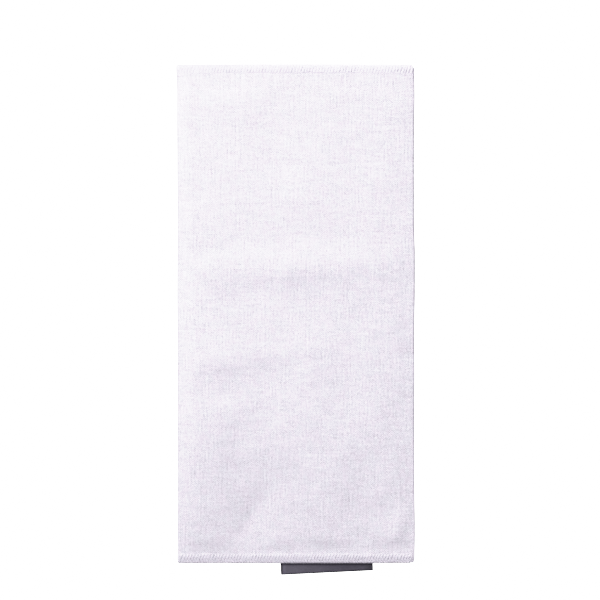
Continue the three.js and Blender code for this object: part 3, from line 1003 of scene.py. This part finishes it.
def slate_satin():
    """Fine satin ribbon: long floats across its face, with a tighter edge."""
    s = Shader("label_satin")
    u, v = s.uv()
    rib = s.math("SINE", s.product(v, math.tau / (0.34 * MM)))
    float_run = s.noise(s.vector(s.product(u, 0.22), v), 2600.0, 2.0, 0.6)
    cloud = s.noise(s.vector(u, v, 1.0), 90.0, 3.0, 0.55)
    speck = s.noise(s.vector(u, v, 6.0), 1900.0, 2.0, 0.7)
    off_centre, half = s.math("ABSOLUTE", v), STRIP_WIDTH / 2
    edge = s.remap(off_centre, (half - 1.7) * MM, (half - 0.7) * MM, 0.0, 1.0)
    from_fold = s.total(s.product(u, 1.0 / MM), -STRIP_LENGTH)
    amount = SATIN_TONE
    tone = s.total(
        s.product(rib, amount["rib"]),
        s.product(float_run, amount["float"]),
        s.product(cloud, amount["cloud"]),
        s.product(speck, amount["speck"]),
        s.product(edge, amount["edge"]),
        # painted shade deepening towards the fold, more painted shade at the fold, and painted light at the
        # cut end
        s.remap(from_fold, 0.0, STRIP_LENGTH, amount["run"], 0.0),
        s.remap(from_fold, 0.0, 6.0, amount["fold"], 0.0),
        s.remap(from_fold, STRIP_LENGTH - 4.0, STRIP_LENGTH, 0.0, amount["end"]),
        amount["middle"],
    )
    colour = s.shaded(tone, SATIN_COLOUR)
    normal = s.bump(s.total(s.product(rib, 0.5), float_run, s.product(edge, 0.8)), 0.05 * MM, 0.7)
    gloss = {"Roughness": 0.5, "Sheen_Weight": 0.2, "Sheen_Roughness": 0.4, "IOR": 1.5, "Anisotropic": 0.4}
    return s.finish(colour, normal, **gloss)


# The studio, in metres
FLOOR_SIZE = 9.0
FLOOR_DROP = 0.0002  # below the surface that the pouch lies on
KEY_LIGHT = {"place": (-0.9, 1.8, 1.7), "size": (0.8, 0.8), "power": 112.0, "colour": (1.0, 0.985, 1.0)}
WORLD = {"above": 0.45, "below": 0.10, "colour": (0.92, 0.90, 1.0, 1.0), "rises": (-0.15, 0.25)}

# Camera response: light in the scene and what it gives in the picture, which saturates softly near white
TONE_CURVE = [
    (0.0, 0.0),
    (0.35, 0.35),
    (0.70, 0.70),
    (0.80, 0.79),
    (0.92, 0.88),
    (1.10, 0.945),
    (1.4, 0.988),
    (1.8, 1.0),
    (2.0, 1.0),
]


def studio_floor():
    s = Shader("studio_floor")
    place = s.node("ShaderNodeTexCoord").outputs["Object"]
    grain = s.noise(place, 40.0, 3.0)
    colour = s.mix(grain, (0.86, 0.86, 0.87, 1.0), (0.9, 0.9, 0.9, 1.0))
    normal = s.bump(grain, 0.0001, 0.1)
    white = (1.0, 1.0, 1.0, 1.0)
    return s.finish(colour, normal, Roughness=0.9, Emission_Color=white, Emission_Strength=3.0)


def add_floor():
    bpy.ops.mesh.primitive_plane_add(size=FLOOR_SIZE, location=(0.0, 0.0, -FLOOR_DROP))
    floor = bpy.context.object
    floor.name = "studio_floor"
    floor.data.materials.append(studio_floor())
    floor.visible_diffuse = False
    floor.visible_glossy = False


def add_light(name, place, size, power, colour):
    data = bpy.data.lights.new(name, "AREA")
    data.shape = "RECTANGLE"
    data.size, data.size_y = size
    data.energy = power
    data.color = colour
    lamp = bpy.data.objects.new(name, data)
    lamp.location = place
    lamp.rotation_euler = (-Vector(place)).to_track_quat("-Z", "Y").to_euler()
    bpy.context.scene.collection.objects.link(lamp)


def add_world():
    world = bpy.data.worlds.new("studio")
    world.use_nodes = True
    nodes, links = world.node_tree.nodes, world.node_tree.links
    background = nodes["Background"]
    background.inputs[0].default_value = WORLD["colour"]
    direction = nodes.new("ShaderNodeTexCoord")
    split = nodes.new("ShaderNodeSeparateXYZ")
    horizon = nodes.new("ShaderNodeMapRange")
    links.new(direction.outputs["Generated"], split.inputs[0])
    links.new(split.outputs[2], horizon.inputs[0])
    for socket, value in zip(horizon.inputs[1:5], (*WORLD["rises"], WORLD["below"], WORLD["above"])):
        socket.default_value = value
    links.new(horizon.outputs[0], background.inputs[1])
    bpy.context.scene.world = world


def add_camera():
    data = bpy.data.cameras.new("photo_camera")
    width = FRAME_PIXELS * PIXEL * MM
    data.sensor_width = SENSOR
    data.lens = SENSOR * CAMERA_HEIGHT / width
    camera = bpy.data.objects.new("photo_camera", data)
    camera.location = (FRAME_CENTRE["x"] * MM, FRAME_CENTRE["y"] * MM, CAMERA_HEIGHT)
    bpy.context.scene.collection.objects.link(camera)
    bpy.context.scene.camera = camera


def add_tone_curve(settings):
    settings.use_curve_mapping = True
    mapping = settings.curve_mapping
    brightest = TONE_CURVE[-1][0]
    mapping.white_level = (brightest, brightest, brightest)
    mapping.extend = "HORIZONTAL"
    points = mapping.curves[3].points
    for light, shown in TONE_CURVE[1:-1]:
        points.new(light / brightest, shown)
    mapping.update()


def build():
    cotton, thread, satin = woven_cotton(), sewing_thread(), slate_satin()
    cloth = cloth_piece(cotton)
    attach(cloth, "root")
    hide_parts("pouch")
    seams = [
        overlock("overlock_mouth", mouth_edge(), STITCH_LEAN, 21, thread),
        overlock("overlock_sewn_end", sewn_edge(), -STITCH_LEAN, 34, thread),
    ]
    for seam in seams:
        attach(seam, "root")
    ribbon = strip_piece(satin)
    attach(ribbon, "root")
    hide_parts("label")


def light_and_camera():
    add_floor()
    add_world()
    add_light("key", **KEY_LIGHT)
    add_camera()
    settings = bpy.context.scene.view_settings
    settings.view_transform = "Standard"
    settings.look = "None"
    add_tone_curve(settings)


build()
light_and_camera()
